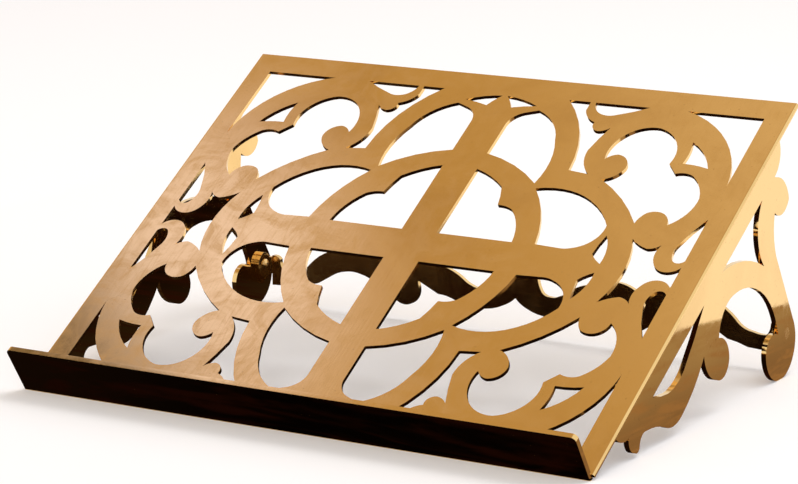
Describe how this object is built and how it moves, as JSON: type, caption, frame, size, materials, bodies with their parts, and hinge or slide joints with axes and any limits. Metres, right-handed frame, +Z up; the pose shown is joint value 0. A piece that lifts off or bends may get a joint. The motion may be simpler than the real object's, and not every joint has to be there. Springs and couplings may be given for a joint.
{
  "type": "book display stand",
  "caption": "Sloping book stand in pierced brass sheet with a cross in a quatrefoil, a front ledge, scrolled side brackets and a scrolled rear brace.",
  "frame": {"origin": "on the table, under the middle of the stand's bounding box", "axes": "+X to the right of a reader who faces the desk, +Y away from the reader, from the ledge towards the round rear feet, +Z up"},
  "size_m": [0.36, 0.267, 0.1565],
  "materials": {
    "polished_brass": "polished, with a fine brushed grain",
    "rivet_brass": "hammered and filed",
    "solder": "scraped and polished hard solder"
  },
  "bodies": {
    "root": {"desk_panel": "polished_brass", "front_ledge": "polished_brass", "left_bracket": "polished_brass", "right_bracket": "polished_brass", "rear_brace": "polished_brass", "left_rivet": "rivet_brass", "right_rivet": "rivet_brass", "left_solder_seam": "solder", "right_solder_seam": "solder", "ledge_solder_seam": "solder"}
  },
  "joints": []
}
